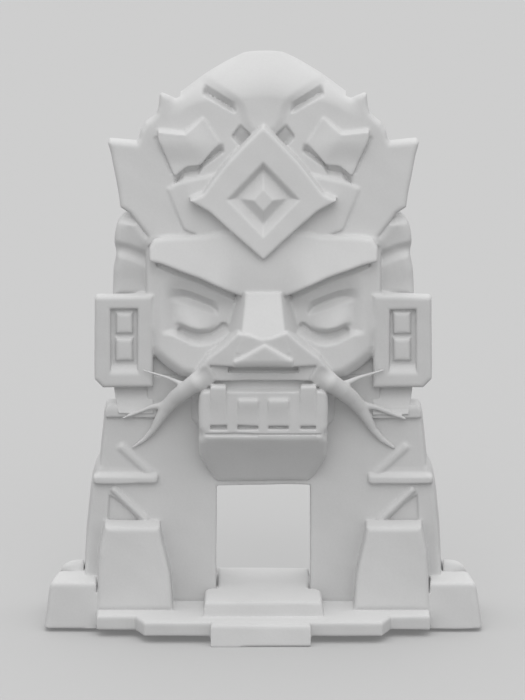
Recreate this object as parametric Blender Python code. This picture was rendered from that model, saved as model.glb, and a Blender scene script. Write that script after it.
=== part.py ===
"""Tiki gateway ornament: a carved idol head over a walk-through doorway, built as
dressed stone blocks that lock together with tenons and mortises.

Z is up, the doorway runs along Y and the face looks towards -Y. Y = 0 is the
front plane of the piers and Z = 0 is the ground.
"""

import math

import bmesh
import bpy

MM = 0.001

# Driving sizes, in millimetres.
GAP = 0.3
HEIGHT = 300.0
DOOR_HALF = 24.4
DOOR_TOP = 73.6
SLAB_BOTTOM = 3.7
SLAB_TOP = 11.4
BLOCK_BOTTOM = 1.6
SLAB_FRONT = -33.8
PORCH_FRONT = -49.9
SLAB_BACK = 59.8
STEP_FRONT = -59.8
THRESHOLD_TOP = 19.3
PIER_FOOT = SLAB_TOP + GAP
PIER_BACK = 51.5
BACK_BATTER = 0.221
LINTEL_TOP = 110.0
NECK_TOP = 131.7
NECK_HALF = 60.5
CORE_FRONT = 14.0
CORE_BACK = 27.0
CORE_TOP = 260.7
RELIEF_BACK = CORE_FRONT - GAP
MASK_TOP = 206.3
SOCKET_FLOOR = -6.0

STONE = (0.62, 0.61, 0.59, 1.0)
PALE_STONE = (0.66, 0.65, 0.63, 1.0)
RUBBER = (0.08, 0.08, 0.08, 1.0)


def sloped(y, slope, z):
    """A leaning plane: its Y at any height."""
    return lambda height: y + slope * (height - z)


pier_back = sloped(PIER_BACK, -BACK_BATTER, PIER_FOOT)
brow_face = sloped(-8.3, 0.36, 207.0)
mask_face = sloped(-15.0, 0.12, 134.0)
forehead_face = sloped(-3.0, 0.154, 206.0)
diamond_back = sloped(-8.2, 0.154, 198.0)
diamond_face = sloped(-16.6, 0.17, 197.0)


def moved(plane, y):
    return lambda height: plane(height) + y


def clear_scene():
    for old in list(bpy.data.objects):
        bpy.data.objects.remove(old, do_unlink=True)


def paint(obj, color, roughness):
    material = bpy.data.materials.new(obj.name + "_finish")
    material.use_nodes = True
    shader = material.node_tree.nodes["Principled BSDF"]
    shader.inputs["Base Color"].default_value = color
    shader.inputs["Roughness"].default_value = roughness
    shader.inputs["Metallic"].default_value = 0.0
    material.diffuse_color = color
    obj.data.materials.append(material)


def solid(name, rings, edge=0.8, segments=1, color=STONE, roughness=0.85, smooth=False):
    """One closed body through rings of equally many points, with a flat cap at each end."""
    mesh = bpy.data.meshes.new(name)
    shape = bmesh.new()
    loops = [[shape.verts.new([value * MM for value in point]) for point in ring] for ring in rings]
    count = len(loops[0])
    for lower, upper in zip(loops, loops[1:]):
        for i in range(count):
            j = (i + 1) % count
            shape.faces.new((lower[i], lower[j], upper[j], upper[i]))
    shape.faces.new(loops[0])
    shape.faces.new(loops[-1])
    bmesh.ops.recalc_face_normals(shape, faces=shape.faces)
    for face in shape.faces:
        face.smooth = smooth
    shape.to_mesh(mesh)
    shape.free()
    obj = bpy.data.objects.new(name, mesh)
    bpy.context.collection.objects.link(obj)
    paint(obj, color, roughness)
    if edge:
        bevel = obj.modifiers.new("worn_edge", "BEVEL")
        bevel.width = edge * MM
        bevel.segments = segments
        bevel.limit_method = "ANGLE"
        bevel.angle_limit = math.radians(25)
    return obj


def facing(outline, plane):
    """An (x, z) outline set on a plane, given as a number or as Y at each height."""
    if callable(plane):
        return [(x, plane(z), z) for x, z in outline]
    return [(x, plane, z) for x, z in outline]


def plate(name, outline, front, back, **finish):
    return solid(name, [facing(outline, front), facing(outline, back)], **finish)


def level(plan, z):
    return [(x, y, z) for x, y in plan]


def block(name, low, high, **finish):
    (x0, y0, z0), (x1, y1, z1) = low, high
    plan = [(x0, y0), (x1, y0), (x1, y1), (x0, y1)]
    return solid(name, [level(plan, z0), level(plan, z1)], **finish)


def whole(half):
    """A half outline from the centre line outwards, completed with its mirror image."""
    left = [(-x, z) for x, z in reversed(half) if x > 0]
    return half + left


def flipped(points, side):
    return [(side * point[0],) + tuple(point[1:]) for point in points]


def hide(tool):
    tool.hide_render = True
    tool.display_type = "WIRE"
    return tool


def combine(obj, tool, operation):
    modifier = obj.modifiers.new(tool.name, "BOOLEAN")
    modifier.operation = operation
    modifier.solver = "EXACT"
    modifier.object = hide(tool)


def key(owner, host, low, high):
    """A tenon left standing on the owner and the mortise for it in the host."""
    tag = owner.name + "_in_" + host.name
    combine(owner, block(tag + "_tenon", low, high, edge=0), "UNION")
    wide_low = [value - GAP for value in low]
    wide_high = [value + GAP for value in high]
    combine(host, block(tag + "_mortise", wide_low, wide_high, edge=0), "DIFFERENCE")


def side_key(owner, host, side, x0, x1, y0, y1, z0, z1):
    near, far = sorted((side * x0, side * x1))
    key(owner, host, (near, y0, z0), (far, y1, z1))


def tube(name, path, sides, **finish):
    """A round tapering limb through (x, y, z, radius) stations."""
    rings = []
    for i, (x, y, z, radius) in enumerate(path):
        ahead = path[min(i + 1, len(path) - 1)]
        behind = path[max(i - 1, 0)]
        run_x = ahead[0] - behind[0]
        run_z = ahead[2] - behind[2]
        length = math.hypot(run_x, run_z)
        across_x = -run_z / length
        across_z = run_x / length
        ring = []
        for j in range(sides):
            turn = 2 * math.pi * j / sides
            out = radius * math.cos(turn)
            ring.append((x + out * across_x, y + radius * math.sin(turn), z + out * across_z))
        rings.append(ring)
    return solid(name, rings, edge=0, smooth=True, **finish)


def bar(name, x0, z0, x1, z1, width, front, back, **finish):
    length = math.hypot(x1 - x0, z1 - z0)
    off_x = -(z1 - z0) / length * width / 2
    off_z = (x1 - x0) / length * width / 2
    outline = [
        (x0 + off_x, z0 + off_z),
        (x1 + off_x, z1 + off_z),
        (x1 - off_x, z1 - off_z),
        (x0 - off_x, z0 - off_z),
    ]
    return plate(name, outline, front, back, **finish)


SIDES = (("left", -1), ("right", 1))


# Base: a low slab with a porch, stepped up to the doorway.
def build_slab():
    plan = [
        (0, PORCH_FRONT),
        (62.0, PORCH_FRONT),
        (66.7, SLAB_FRONT),
        (86.6, SLAB_FRONT),
        (86.6, 11.3),
        (93.2, 11.3),
        (93.2, SLAB_BACK),
        (0, SLAB_BACK),
    ]
    outline = whole(plan[1:-1])
    return solid("base_slab", [level(outline, SLAB_BOTTOM), level(outline, SLAB_TOP)], edge=1.0)


def build_front_step(slab):
    low = [(-27.2, STEP_FRONT), (24.8, STEP_FRONT), (24.8, PORCH_FRONT - GAP), (-27.2, PORCH_FRONT - GAP)]
    high = [(x * 0.985, y + (3.0 if y == STEP_FRONT else 0)) for x, y in low]
    step = solid("front_step", [level(low, 0), level(high, SLAB_TOP - 0.1)])
    key(step, slab, (-15, PORCH_FRONT - 2, 5.0), (12, PORCH_FRONT + 6, 9.0))


def build_threshold(slab):
    tread = 31.0
    sill = DOOR_HALF - GAP
    plan = [(tread, -37.4), (tread, -GAP), (sill, -GAP), (sill, PIER_BACK)]
    narrow = [(tread - 1, -37.4), (tread - 1, -GAP), (sill, -GAP), (sill, PIER_BACK)]
    rings = [level(whole(plan), PIER_FOOT), level(whole(narrow), THRESHOLD_TOP)]
    threshold = solid("threshold", rings)
    key(threshold, slab, (-18, -28, 8.0), (18, -8, 14.0))


def build_corner_blocks(slab, tag, side):
    inner = 86.9
    profile = [(-21.5, BLOCK_BOTTOM), (-18.7, 25.5), (11.0, 25.5), (11.0, BLOCK_BOTTOM)]
    outer_x = (114.0, 110.9, 106.5, 109.0)
    near = [(side * inner, y, z) for y, z in profile]
    far = [(side * x, y, z) for x, (y, z) in zip(outer_x, profile)]
    front = solid("corner_block_front_" + tag, [near, far], edge=1.2, segments=2)
    side_key(front, slab, side, 80, 88, -20, -4, 5.5, 9.5)
    crown = [(11.3, 26.5), (13, 29.5), (16.5, 30.4), (24, 28.7), (36, 24.5), (48, 17), (57, 8.5)]
    rings = []
    for x, drop in ((93.5, 0), (99.5, 0.4), (103.5, 2.6), (106.0, 7.5)):
        top = [(y, max(z - drop, SLAB_BOTTOM + 2)) for y, z in crown]
        ring = [(11.3, SLAB_BOTTOM)] + top + [(SLAB_BACK, SLAB_BOTTOM)]
        rings.append([(side * x, y, z) for y, z in ring])
    rear = solid("corner_block_rear_" + tag, rings, edge=0.5)
    side_key(rear, slab, side, 87, 95, 25, 42, 5.5, 9.5)


def build_pad(slab, tag, x, y):
    radius = 6.5
    ring = []
    for i in range(16):
        turn = 2 * math.pi * i / 16
        ring.append((x + radius * math.cos(turn), y + radius * math.sin(turn)))
    rings = [level(ring, 0), level(ring, SLAB_BOTTOM - GAP)]
    pad = solid("foot_pad_" + tag, rings, edge=0.4, color=RUBBER, roughness=0.9)
    key(pad, slab, (x - 2, y - 2, 2), (x + 2, y + 2, 6))


# Gate: two piers with buttresses, tied by the lintel.
def build_pier(slab, tag, side):
    half = [
        (DOOR_HALF, PIER_FOOT),
        (93.2, PIER_FOOT),
        (91.7, 44.3),
        (89.6, 65.6),
        (88.3, DOOR_TOP),
        (DOOR_HALF, DOOR_TOP),
    ]
    outline = flipped(half, side)
    pier = plate("pier_" + tag, outline, 0, pier_back)
    near, far = sorted((side * 86.6, side * 100))
    notch = block("notch_" + tag, (near, -5, 5), (far, 11.3, 25.8), edge=0)
    combine(pier, notch, "DIFFERENCE")
    side_key(pier, slab, side, 50, 70, 12, 36, 6.5, 14)
    return pier


def build_buttress(slab, tag, side):
    half = [
        (47.0, PIER_FOOT),
        (86.5, PIER_FOOT),
        (86.5, 45.9),
        (80.0, 54.7),
        (53.7, 54.7),
        (52.2, 45.9),
        (48.5, 30.0),
    ]
    face = sloped(-22.1, 0.08, PIER_FOOT)
    buttress = plate("buttress_" + tag, flipped(half, side), face, -GAP, edge=1.0)
    side_key(buttress, slab, side, 58, 74, -15, -6, 6.5, 14)


def build_lintel(piers):
    half = [(85.6, DOOR_TOP + GAP), (82.6, LINTEL_TOP)]
    lintel = plate("lintel", whole(half), 0, pier_back)
    for pier, (tag, side) in zip(piers, SIDES):
        side_key(lintel, pier, side, 45, 70, 8, 26, 66, 76)
    return lintel


def build_band(lintel, tag, side):
    front = -2.8
    rear = 7.0
    low = [(53.7, front), (88.3, front), (88.3, rear), (85.9, rear), (85.9, -GAP), (53.7, -GAP)]
    high = [(min(x, 86.8), y) if x > 86 else (x, y) for x, y in low]
    rings = [level(flipped(low, side), DOOR_TOP + GAP), level(flipped(high, side), 81.5)]
    band = solid("band_" + tag, rings, edge=0.4)
    side_key(band, lintel, side, 62, 70, -1.5, 4, 75.5, 79.5)


def build_braces(pier, lintel, tag, side):
    upper = bar("brace_upper_" + tag, side * 75.0, 95.5, side * 61.0, 83.7, 2.6, -2.2, -GAP, edge=0.3)
    side_key(upper, lintel, side, 67.3, 68.7, -1.5, 3, 88.9, 90.3)
    lower = bar("brace_lower_" + tag, side * 77.6, 71.5, side * 61.8, 56.7, 2.6, -2.2, -GAP, edge=0.3)
    side_key(lower, pier, side, 69.0, 70.4, -1.5, 3, 63.4, 64.8)


def build_cap(lintel, tag, side):
    rings = []
    for outer, z in ((81.8, LINTEL_TOP + GAP), (81.3, 114.2), (79.0, 116.8)):
        plan = [
            (53.7, -2.8),
            (outer, -2.8),
            (outer, RELIEF_BACK - GAP),
            (60.8, RELIEF_BACK - GAP),
            (60.8, -GAP),
            (53.7, -GAP),
        ]
        rings.append(level(flipped(plan, side), z))
    cap = solid("pier_cap_" + tag, rings, edge=0.6)
    side_key(cap, lintel, side, 66, 76, 2, 10, 105, 112)


# Head: a backing block carries the mask, ears, hair, forehead and crest.
def build_neck(lintel):
    low = (-NECK_HALF, 0, LINTEL_TOP + GAP)
    neck = block("neck_block", low, (NECK_HALF, RELIEF_BACK, NECK_TOP), edge=0.5)
    key(neck, lintel, (-20, 3, 105), (20, 10, 112))
    return neck


def build_core(lintel):
    half = [
        (76.0, LINTEL_TOP + GAP),
        (76.0, 178.0),
        (72.0, 200.0),
        (66.0, 216.0),
        (66.0, 238.0),
        (56.0, 252.0),
        (43.0, CORE_TOP),
    ]
    core = plate("head_core", whole(half), CORE_FRONT, CORE_BACK, edge=1.2, segments=2)
    key(core, lintel, (-50, 17, 104), (50, 24, 112))
    return core


def build_mask(core):
    half = [(38.1, 132.0), (43.3, 133.2), (51.1, 137.8), (58.9, 143.5), (60.5, 148.0), (60.5, MASK_TOP)]
    mask = plate("face_mask", whole(half), mask_face, RELIEF_BACK)
    key(mask, core, (-25, 12, 150), (25, 19, 185))
    socket = [
        (50.6, 162.0),
        (50.6, 173.4),
        (46.0, 178.8),
        (35.5, 176.6),
        (23.6, 171.8),
        (14.6, 167.5),
        (12.4, 161.5),
        (17.5, 156.4),
        (25.1, 153.8),
        (36.0, 152.7),
        (45.9, 155.4),
    ]
    for tag, side in SIDES:
        tool = plate("socket_" + tag, flipped(socket, side), -30, SOCKET_FLOOR, edge=0)
        combine(mask, tool, "DIFFERENCE")
    return mask


def build_eye(mask, tag, side):
    centre_x = side * 35.0
    centre_z = 165.8
    rings = []
    for scale, y in ((1.0, SOCKET_FLOOR - GAP), (0.93, -8.4), (0.72, -10.4), (0.38, -11.6)):
        ring = []
        for i in range(16):
            turn = 2 * math.pi * i / 16
            x = centre_x + 12.0 * scale * math.cos(turn)
            ring.append((x, y, centre_z + 8.6 * scale * math.sin(turn)))
        rings.append(ring)
    eye = solid("eye_" + tag, rings, edge=0, color=PALE_STONE, smooth=True)
    side_key(eye, mask, side, 33, 37, -8, -1, 164, 168)


DIAMOND = [
    (0.0, 263.3),
    (23.0, 240.7),
    (30.3, 232.4),
    (38.1, 227.8),
    (0.0, 197.9),
    (-38.1, 227.8),
    (-30.3, 232.4),
    (-23.0, 240.7),
]


def build_brow(mask):
    half = [
        (10.6, 180.2),
        (22.5, 184.2),
        (32.9, 188.0),
        (43.3, 191.4),
        (53.7, 194.7),
        (58.9, 195.2),
        (58.9, 205.0),
        (52.2, 206.4),
        (29.3, 207.4),
    ]
    brow = plate("brow", whole(half), brow_face, moved(mask_face, -GAP), edge=0.6)
    for tag, side in SIDES:
        side_key(brow, mask, side, 24, 40, -9.5, -2, 196, 201)
    grown = [(x * 1.03, 230 + (z - 230) * 1.03) for x, z in DIAMOND]
    combine(brow, plate("brow_notch", grown, -30, 0, edge=0), "DIFFERENCE")


def build_nose(mask):
    rings = []
    for half_width, front, z in (
        (13.0, -21.0, 142.2),
        (13.0, -22.5, 152.0),
        (12.2, -28.5, 156.2),
        (11.5, -30.0, 159.0),
        (9.1, -17.0, 179.8),
    ):
        back = mask_face(z) - GAP
        plan = [
            (-half_width, back),
            (-half_width, front * 0.45 + back * 0.55),
            (-half_width * 0.62, front),
            (half_width * 0.62, front),
            (half_width, front * 0.45 + back * 0.55),
            (half_width, back),
        ]
        rings.append(level(plan, z))
    nose = solid("nose", rings, edge=0.5)
    gable = [(14.2, 142.2), (14.2, 146.3), (0, 153.6), (-14.2, 146.3), (-14.2, 142.2)]
    gable_block = plate("nose_gable", gable, -27, -18, edge=0)
    combine(nose, gable_block, "UNION")
    key(nose, mask, (-5, -18, 160), (5, -5, 172))


def build_lip(mask):
    outline = [(28.8, 141.9), (24.6, 134.1), (-24.6, 134.1), (-28.8, 141.9)]
    lip = plate("upper_lip", outline, -22, moved(mask_face, -GAP), edge=0.6)
    key(lip, mask, (-10, -17, 135.5), (10, -8, 139.5))


def build_jaw(lintel):
    rings = []
    for half_width, front, z in (
        (25.2, -1.6, 75.2),
        (33.4, -15.0, 91.5),
        (33.4, -23.3, 101.4),
        (31.0, -26.0, 105.0),
        (33.4, -26.0, 108.5),
        (33.4, -26.0, 129.1),
    ):
        plan = [(-half_width, front), (half_width, front), (half_width, -GAP), (-half_width, -GAP)]
        rings.append(level(plan, z))
    jaw = solid("jaw_block", rings, edge=0.8)
    key(jaw, lintel, (-15, -5, 90), (15, 6, 103))
    return jaw


def build_teeth(jaw, tag, side):
    for kind, inner, outer, top in (("inner", 2.4, 13.4, 124.7), ("outer", 17.8, 28.2, 131.4)):
        near, far = sorted((side * inner, side * outer))
        low = (near, -28.4, 109.8)
        tooth = block(f"tooth_{kind}_{tag}", low, (far, -26.0 - GAP, top), edge=0.5, color=PALE_STONE)
        middle = (inner + outer) / 2
        side_key(tooth, jaw, side, middle - 2, middle + 2, -27.5, -22, 116, 120)


def build_branch(neck, tag, side):
    path = [
        (15.8, -20.5, 153.6, 1.6),
        (22.5, -21.0, 149.2, 1.9),
        (30.6, -20.5, 144.0, 2.1),
        (34.0, -20.0, 138.6, 2.5),
        (37.8, -19.6, 131.6, 3.6),
        (41.8, -12.0, 125.8, 4.1),
        (46.0, -7.0, 121.3, 4.0),
        (50.0, -6.9, 115.8, 3.4),
        (53.5, -6.0, 109.6, 2.5),
        (57.2, -3.2, 103.0, 1.6),
        (62.0, -2.2, 98.2, 1.2),
        (67.8, -1.5, 93.6, 0.7),
    ]
    branch = tube("beard_branch_" + tag, flipped(path, side), 8)
    high_twig = [(38.5, -18.0, 129.8, 1.6), (50.0, -11.5, 133.0, 1.1), (62.6, -8.6, 136.0, 0.6)]
    low_twig = [(48.0, -6.8, 118.2, 1.7), (60.0, -5.4, 116.0, 1.2), (74.0, -4.6, 110.0, 0.6)]
    for end, twig in (("high", high_twig), ("low", low_twig)):
        combine(branch, tube(f"twig_{end}_{tag}", flipped(twig, side), 6), "UNION")
    side_key(branch, neck, side, 44.5, 47.5, -6, 5, 120, 123)


def build_ear(core, tag, side):
    front = [(60.8, 126.7), (82.8, 126.7), (87.5, 131.4), (87.5, 173.6), (85.5, 175.2), (60.8, 175.4)]
    back = [(60.8, 128.0), (77.0, 128.0), (79.5, 133.0), (79.5, 167.0), (78.5, 168.5), (60.8, 171.0)]
    rings = [facing(front, -7), facing(front, 2), facing(back, RELIEF_BACK)]
    ear = solid("ear_" + tag, [flipped(ring, side) for ring in rings], edge=1.0)
    near, far = sorted((side * 65.7, side * 79.2))
    combine(ear, block("ear_pocket_" + tag, (near, -12, 138.2), (far, -3, 168.1), edge=0), "DIFFERENCE")
    side_key(ear, core, side, 64, 73, 12, 18, 140, 160)
    for kind, low_z, high_z in (("upper", 154.8, 166.5), ("lower", 140.5, 152.6)):
        near, far = sorted((side * 67.8, side * 76.6))
        low = (near, -5.6, low_z)
        inlay = block(f"ear_inlay_{kind}_{tag}", low, (far, -3 - GAP, high_z), edge=0.8, color=PALE_STONE)
        middle = (low_z + high_z) / 2
        side_key(inlay, ear, side, 70.5, 74, -4.5, 1, middle - 2, middle + 2)


def build_hair(core, tag, side):
    half = [
        (60.8, 175.8),
        (78.2, 175.8),
        (77.6, 186.8),
        (75.6, 195.5),
        (77.2, 201.0),
        (76.6, 206.0),
        (75.4, 211.0),
        (72.0, 215.8),
        (69.0, 216.3),
        (60.8, 206.4),
    ]
    hair = plate("side_hair_" + tag, flipped(half, side), 5, RELIEF_BACK, edge=1.0)
    side_key(hair, core, side, 63, 70, 11, 17, 183, 197)


def build_low_feather(core, tag, side):
    half = [
        (41.5, 206.9),
        (60.3, 206.9),
        (69.4, 217.6),
        (74.0, 221.0),
        (77.1, 238.0),
        (80.8, 253.4),
        (80.2, 255.3),
        (65.7, 254.2),
        (63.6, 260.1),
        (60.0, 265.3),
        (55.2, 269.2),
        (55.2, 256.3),
        (46.3, 236.6),
        (50.0, 229.3),
        (46.3, 220.0),
    ]
    feather = plate("feather_low_" + tag, flipped(half, side), forehead_face, RELIEF_BACK, edge=0.7)
    side_key(feather, core, side, 52, 62, 12, 18, 216, 232)


def build_forehead(core):
    half = [(41.1, 207.8), (45.9, 220.0), (49.6, 229.3), (45.9, 236.5), (54.7, 256.2), (54.7, CORE_TOP)]
    forehead = plate("forehead", whole(half), forehead_face, RELIEF_BACK, edge=0.5)
    key(forehead, core, (-25, 12, 215), (25, 19, 245))
    return forehead


def build_crest(core):
    foot = CORE_TOP + GAP
    ridge = [
        (43.0, foot),
        (45.0, 276.0),
        (35.0, 283.4),
        (25.1, 290.4),
        (14.7, 296.3),
        (9.0, HEIGHT),
    ]
    brink = [(43.0, foot), (43.0, 270.0), (36.0, 275.0), (27.0, 280.5), (17.0, 285.0), (10.0, 287.0)]
    rear = [(x, max(z - 3.0, foot)) for x, z in ridge]
    rings = [
        facing(whole(brink), forehead_face),
        facing(whole(ridge), 20),
        facing(whole(rear), CORE_BACK),
    ]
    crest = solid("crest", rings, edge=0.8)
    key(crest, core, (-25, 17, 254), (25, 24, 264))
    return crest


def build_high_feather(crest, tag, side):
    foot = CORE_TOP + GAP
    half = [(43.4, foot), (54.7, foot), (54.7, 270.0), (53.6, 279.0), (52.4, 279.6), (45.4, 276.6)]
    feather = plate("feather_high_" + tag, flipped(half, side), forehead_face, RELIEF_BACK, edge=0.5)
    side_key(feather, crest, side, 38, 46, 7.5, 12, 264, 270)


def build_leaves(forehead, tag, side):
    on = moved(forehead_face, -GAP)
    upper = [
        (54.2, 260.6),
        (41.2, 259.7),
        (31.4, 267.9),
        (22.5, 254.0),
        (29.3, 246.8),
        (32.4, 242.2),
        (39.7, 242.7),
        (45.9, 237.5),
        (54.2, 257.1),
    ]
    leaf = plate("leaf_upper_" + tag, flipped(upper, side), moved(forehead_face, -3.6), on, edge=0.6)
    side_key(leaf, forehead, side, 36, 42, 1.5, 9, 248, 254)
    lower = [
        (49.4, 231.0),
        (43.3, 234.4),
        (23.6, 238.6),
        (14.0, 225.0),
        (14.0, 209.0),
        (35.5, 208.4),
        (41.2, 210.2),
        (45.9, 221.0),
    ]
    leaf = plate("leaf_lower_" + tag, flipped(lower, side), moved(forehead_face, -3.0), on, edge=0.6)
    side_key(leaf, forehead, side, 39, 43, -2.5, 5, 221, 227)


def rhomb(half_width, low, high):
    middle = (low + high) / 2
    return [(0, high), (half_width, middle), (0, low), (-half_width, middle)]


def build_diamond(forehead):
    frame = plate("diamond_frame", DIAMOND, diamond_face, diamond_back, edge=0.6)
    pocket = rhomb(19.4, 208.9, 249.7)
    tool = plate("diamond_pocket", pocket, moved(diamond_face, -5), moved(diamond_face, 3.5), edge=0)
    combine(frame, tool, "DIFFERENCE")
    key(frame, forehead, (-6, -6, 225), (6, 6, 237))
    base = moved(diamond_face, 3.5 - GAP)
    rings = [
        facing(rhomb(17.6, 211.0, 247.6), base),
        facing(rhomb(17.6, 211.0, 247.6), moved(diamond_face, 1.4)),
        facing(rhomb(15.6, 213.0, 245.6), moved(diamond_face, 0.6)),
        facing(rhomb(10.6, 219.0, 241.5), moved(diamond_face, 1.2)),
        facing(rhomb(4.6, 225.4, 235.0), moved(diamond_face, -0.6)),
    ]
    gem = solid("diamond_gem", rings, edge=0, color=PALE_STONE)
    key(gem, frame, (-3, -9.5, 227), (3, -5, 233))


def build():
    clear_scene()
    slab = build_slab()
    build_front_step(slab)
    build_threshold(slab)
    piers = []
    for tag, side in SIDES:
        build_corner_blocks(slab, tag, side)
        build_pad(slab, "front_" + tag, side * 72, 2)
        build_pad(slab, "rear_" + tag, side * 76, 46)
        piers.append(build_pier(slab, tag, side))
        build_buttress(slab, tag, side)
    lintel = build_lintel(piers)
    neck = build_neck(lintel)
    core = build_core(lintel)
    mask = build_mask(core)
    build_brow(mask)
    build_nose(mask)
    build_lip(mask)
    jaw = build_jaw(lintel)
    forehead = build_forehead(core)
    crest = build_crest(core)
    build_diamond(forehead)
    for pier, (tag, side) in zip(piers, SIDES):
        build_band(lintel, tag, side)
        build_braces(pier, lintel, tag, side)
        build_cap(lintel, tag, side)
        build_eye(mask, tag, side)
        build_teeth(jaw, tag, side)
        build_branch(neck, tag, side)
        build_ear(core, tag, side)
        build_hair(core, tag, side)
        build_low_feather(core, tag, side)
        build_high_feather(crest, tag, side)
        build_leaves(forehead, tag, side)


build()
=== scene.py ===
import math

import bmesh
import bpy
import numpy as np
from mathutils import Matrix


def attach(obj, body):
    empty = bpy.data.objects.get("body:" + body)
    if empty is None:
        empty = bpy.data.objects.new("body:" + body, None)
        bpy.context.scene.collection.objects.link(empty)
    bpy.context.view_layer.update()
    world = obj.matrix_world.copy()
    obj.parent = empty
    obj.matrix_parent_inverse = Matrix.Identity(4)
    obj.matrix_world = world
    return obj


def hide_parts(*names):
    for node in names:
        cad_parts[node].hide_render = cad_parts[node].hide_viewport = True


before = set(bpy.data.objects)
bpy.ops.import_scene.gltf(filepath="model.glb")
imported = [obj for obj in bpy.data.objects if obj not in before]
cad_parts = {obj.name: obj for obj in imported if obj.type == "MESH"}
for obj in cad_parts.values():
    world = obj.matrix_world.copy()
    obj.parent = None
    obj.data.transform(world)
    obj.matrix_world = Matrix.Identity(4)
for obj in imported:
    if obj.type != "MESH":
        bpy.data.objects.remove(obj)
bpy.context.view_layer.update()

# Gate stone. Pale, matte, fine-grained cast stone, a little clouded and finely pitted. The
# stones of the gate are cut from one block and sawn apart, so their faces run on unbroken.
MM = 0.001
FAR = 50


def smooth_max(a, b, blend):
    """The larger of two distances, with the edge between them rounded over."""
    near = np.maximum(blend - np.abs(a - b), 0) / blend
    return np.maximum(a, b) + near * near * (blend / 4)


def smooth_min(a, b, blend):
    return -smooth_max(-a, -b, blend)


def ramp(value, low, high):
    """0 below low, 1 above high, and a smooth slope between them."""
    t = np.clip((value - low) / (high - low), 0, 1)
    return t * t * (3 - 2 * t)


def eased(outline, reach):
    """The outline with each corner turned into a short curve."""
    points = []
    count = len(outline)
    for i, corner in enumerate(outline):
        corner = np.array(corner, float)
        ends = []
        for other in (outline[i - 1], outline[(i + 1) % count]):
            way = np.array(other, float) - corner
            ends.append(corner + way * min(reach / np.hypot(*way), 0.45))
        for t in (0, 1 / 3, 2 / 3, 1):
            points.append(tuple((1 - t) ** 2 * ends[0] + 2 * t * (1 - t) * corner + t * t * ends[1]))
    return points


def whole(half):
    """A right-hand half outline, completed with its mirror image."""
    return list(half) + [(-u, v) for u, v in reversed(half)]


def outline_gap(u, v, outline):
    """Signed distance to a closed outline: negative inside it."""
    best = np.full(np.broadcast(u, v).shape, 1e9)
    inside = np.zeros(best.shape, bool)
    for (u0, v0), (u1, v1) in zip(outline, list(outline[1:]) + [outline[0]]):
        du = u1 - u0
        dv = v1 - v0
        t = np.clip(((u - u0) * du + (v - v0) * dv) / (du * du + dv * dv + 1e-12), 0, 1)
        best = np.minimum(best, (u - u0 - t * du) ** 2 + (v - v0 - t * dv) ** 2)
        if dv:
            inside ^= ((v0 > v) != (v1 > v)) & (u < u0 + (v - v0) * du / dv)
    return np.where(inside, -1.0, 1.0) * np.sqrt(best)


def line_gap(u, v, points):
    """Distance to a line through the points."""
    best = np.full(np.broadcast(u, v).shape, 1e9)
    for (u0, v0), (u1, v1) in zip(points, points[1:]):
        du = u1 - u0
        dv = v1 - v0
        t = np.clip(((u - u0) * du + (v - v0) * dv) / (du * du + dv * dv), 0, 1)
        best = np.minimum(best, (u - u0 - t * du) ** 2 + (v - v0 - t * dv) ** 2)
    return np.sqrt(best)


def box_gap(u, v, low_u, high_u, low_v, high_v):
    return np.maximum(np.maximum(low_u - u, u - high_u), np.maximum(low_v - v, v - high_v))


def chisel(x, y, z):
    """The slow waviness of a hand-dressed surface, in millimetres."""
    broad = np.sin(x / 9.1 + 0.7) * np.sin(z / 11.3 + 1.9) + np.sin(y / 8.7 + 2.1) * np.sin(x / 12.7)
    tight = np.sin(x / 3.9 + z / 5.3) * np.sin(z / 4.3 - y / 6.1 + 0.4)
    return 0.14 * broad + 0.07 * tight


def skin(block, owner, low, pitch):
    """Points on the surface of every stone, and each quad with the stones on its two sides."""
    size = owner.shape
    inside = owner > 0
    corners = [(i, j, k) for i in (0, 1) for j in (0, 1) for k in (0, 1)]
    first = owner[:-1, :-1, :-1]
    mixed = np.zeros(first.shape, bool)
    for i, j, k in corners:
        mixed |= owner[i : size[0] - 1 + i, j : size[1] - 1 + j, k : size[2] - 1 + k] != first
    cells = np.argwhere(mixed)
    surface = np.zeros((len(cells), 4))
    joint = np.zeros((len(cells), 4))
    for axis in range(3):
        step = np.eye(3, dtype=int)[axis]
        for corner in corners:
            if corner[axis]:
                continue
            start = tuple((cells + corner).T)
            end = tuple((cells + corner + step).T)
            a = block[start]
            b = block[end]
            crossed = inside[start] != inside[end]
            t = np.where(crossed, a / np.where(crossed, a - b, 1), 0.5)
            point = np.column_stack([cells + corner + np.clip(t, 0, 1)[:, None] * step, np.ones(len(cells))])
            surface += np.where(crossed[:, None], point, 0)
            joint += np.where((owner[start] != owner[end])[:, None], point, 0)
    total = np.where(surface[:, 3:] > 0, surface, joint)
    points = np.array(low) + total[:, :3] / total[:, 3:] * pitch
    index = np.full(mixed.shape, -1)
    index[mixed] = np.arange(len(cells))
    quads = []
    sides = []
    for axis in range(3):
        near = np.take(owner, range(size[axis] - 1), axis)
        far = np.take(owner, range(1, size[axis]), axis)
        edges = np.argwhere(near != far)
        turn = [(1, 2), (2, 0), (0, 1)][axis]
        unit_a = np.eye(3, dtype=int)[turn[0]]
        unit_b = np.eye(3, dtype=int)[turn[1]]
        ring = [edges - unit_a - unit_b, edges - unit_b, edges, edges - unit_a]
        quads.append(np.stack([index[tuple(cell.T)] for cell in ring], 1))
        sides.append(np.stack([near[tuple(edges.T)], far[tuple(edges.T)]], 1))
    return points, np.concatenate(quads), np.concatenate(sides)


def both(node):
    """A left and a right stone: each keeps its own side of the middle."""
    return {node + "_left": lambda x, y, z: x, node + "_right": lambda x, y, z: -x}


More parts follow.
